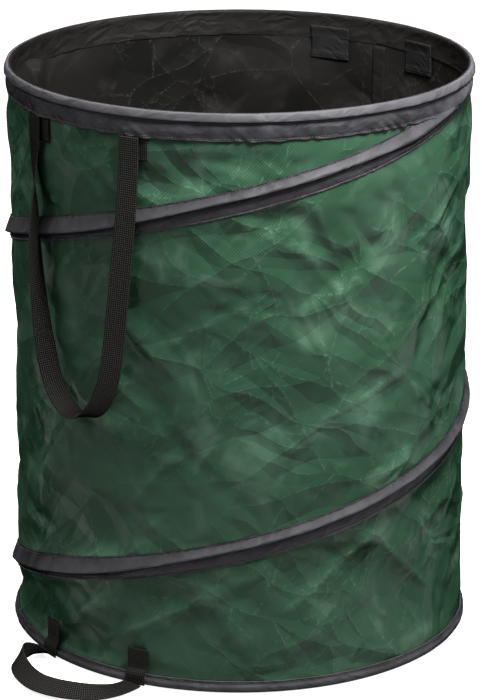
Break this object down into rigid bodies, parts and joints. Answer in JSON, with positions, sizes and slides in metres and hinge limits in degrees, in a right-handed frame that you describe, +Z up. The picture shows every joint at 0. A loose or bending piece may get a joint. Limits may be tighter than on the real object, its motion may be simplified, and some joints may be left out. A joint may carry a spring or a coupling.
{
  "type": "pop up leaf bag",
  "caption": "Round cloth tub held open by a spiral spring between wire hoops, with hanging carry handles and a tipping handle at its foot; it presses flat for storage.",
  "frame": {"origin": "middle of the base panel's underside, on the floor", "axes": "+Z up through the open top, -Y towards the side with the tipping handle, +X to the right of someone facing that side"},
  "size_m": [0.5658, 0.6787, 0.7],
  "materials": {
    "green_cloth": "satin",
    "grey_tape": "matte",
    "black_webbing": "matte",
    "spring_steel": "satin",
    "black_plastic": "satin"
  },
  "bodies": {
    "base": {"base_panel": "green_cloth", "base_hoop": "spring_steel", "base_hoop_ferrule": "spring_steel", "base_binding": "grey_tape", "wall_band_1": "green_cloth", "spring_bottom_cap": "black_plastic", "tipping_handle_left_tab": "black_webbing", "tipping_handle_right_tab": "black_webbing"},
    "wall_stage_2": {"wall_band_2": "green_cloth"},
    "wall_stage_3": {"wall_band_3": "green_cloth"},
    "wall_stage_4": {"wall_band_4": "green_cloth", "spiral_spring": "spring_steel", "spiral_casing": "grey_tape", "wall_seam_tape": "grey_tape"},
    "wall_stage_5": {"wall_band_5": "green_cloth"},
    "wall_stage_6": {"wall_band_6": "green_cloth"},
    "wall_stage_7": {"wall_band_7": "green_cloth"},
    "rim": {"rim_hoop": "spring_steel", "rim_hoop_ferrule": "spring_steel", "rim_binding": "grey_tape", "wall_band_8": "green_cloth", "spring_top_cap": "black_plastic", "front_left_strap_tail": "black_webbing", "front_right_strap_tail": "black_webbing", "rear_left_strap_tail": "black_webbing", "rear_right_strap_tail": "black_webbing", "front_left_inside_patch": "grey_tape", "front_right_inside_patch": "grey_tape", "rear_left_inside_patch": "grey_tape", "rear_right_inside_patch": "grey_tape"},
    "front_handle_leads": {"front_left_strap_lead": "black_webbing", "front_right_strap_lead": "black_webbing"},
    "front_handle": {"front_carry_loop": "black_webbing"},
    "rear_handle_leads": {"rear_left_strap_lead": "black_webbing", "rear_right_strap_lead": "black_webbing"},
    "rear_handle": {"rear_carry_loop": "black_webbing"},
    "tipping_handle": {"tipping_handle_loop": "black_webbing"}
  },
  "joints": [
    {"name": "collapse", "type": "slide", "parent": "base", "child": "rim", "axis": [0, 0, 1], "range_m": [-0.6, 0], "stiffness_N_per_m": 70, "springref_m": 0.15, "deforming": ["wall_band_1", "wall_band_2", "wall_band_3", "wall_band_4", "wall_band_5", "wall_band_6", "wall_band_7", "wall_band_8", "spiral_spring", "spiral_casing", "wall_seam_tape", "front_left_strap_lead", "front_right_strap_lead", "rear_left_strap_lead", "rear_right_strap_lead", "front_carry_loop", "rear_carry_loop"]},
    {"name": "wall_stage_2_slide", "type": "slide", "parent": "base", "child": "wall_stage_2", "axis": [0, 0, 1], "range_m": [-0.0858, 0]},
    {"name": "wall_stage_3_slide", "type": "slide", "parent": "base", "child": "wall_stage_3", "axis": [0, 0, 1], "range_m": [-0.1715, 0]},
    {"name": "wall_stage_4_slide", "type": "slide", "parent": "base", "child": "wall_stage_4", "axis": [0, 0, 1], "range_m": [-0.2572, 0]},
    {"name": "wall_stage_5_slide", "type": "slide", "parent": "base", "child": "wall_stage_5", "axis": [0, 0, 1], "range_m": [-0.3429, 0]},
    {"name": "wall_stage_6_slide", "type": "slide", "parent": "base", "child": "wall_stage_6", "axis": [0, 0, 1], "range_m": [-0.4286, 0]},
    {"name": "wall_stage_7_slide", "type": "slide", "parent": "base", "child": "wall_stage_7", "axis": [0, 0, 1], "range_m": [-0.5143, 0]},
    {"name": "front_handle_lead_turn", "type": "hinge", "parent": "rim", "child": "front_handle_leads", "pos_m": [0, -0.27332, 0.6667], "axis": [-1, 0, 0], "range_deg": [0, 90]},
    {"name": "front_handle_swing", "type": "hinge", "parent": "front_handle_leads", "child": "front_handle", "pos_m": [0, -0.27332, 0.6214], "axis": [-1, 0, 0], "range_deg": [0, 150]},
    {"name": "rear_handle_lead_turn", "type": "hinge", "parent": "rim", "child": "rear_handle_leads", "pos_m": [0, 0.27332, 0.6667], "axis": [1, 0, 0], "range_deg": [0, 90]},
    {"name": "rear_handle_swing", "type": "hinge", "parent": "rear_handle_leads", "child": "rear_handle", "pos_m": [0, 0.27332, 0.6214], "axis": [1, 0, 0], "range_deg": [0, 150]},
    {"name": "tipping_handle_swing", "type": "hinge", "parent": "base", "child": "tipping_handle", "pos_m": [0, -0.27777, 0.0023], "axis": [-1, 0, 0], "range_deg": [0, 75]}
  ],
  "couplings": [
    {"joint": "wall_stage_2_slide", "follows": "collapse", "ratio": 0.14286},
    {"joint": "wall_stage_3_slide", "follows": "collapse", "ratio": 0.28571},
    {"joint": "wall_stage_4_slide", "follows": "collapse", "ratio": 0.42857},
    {"joint": "wall_stage_5_slide", "follows": "collapse", "ratio": 0.57143},
    {"joint": "wall_stage_6_slide", "follows": "collapse", "ratio": 0.71429},
    {"joint": "wall_stage_7_slide", "follows": "collapse", "ratio": 0.85714},
    {"joint": "front_handle_lead_turn", "follows": "collapse", "rad_per_m": -2.6179},
    {"joint": "rear_handle_lead_turn", "follows": "collapse", "rad_per_m": -2.6179}
  ]
}
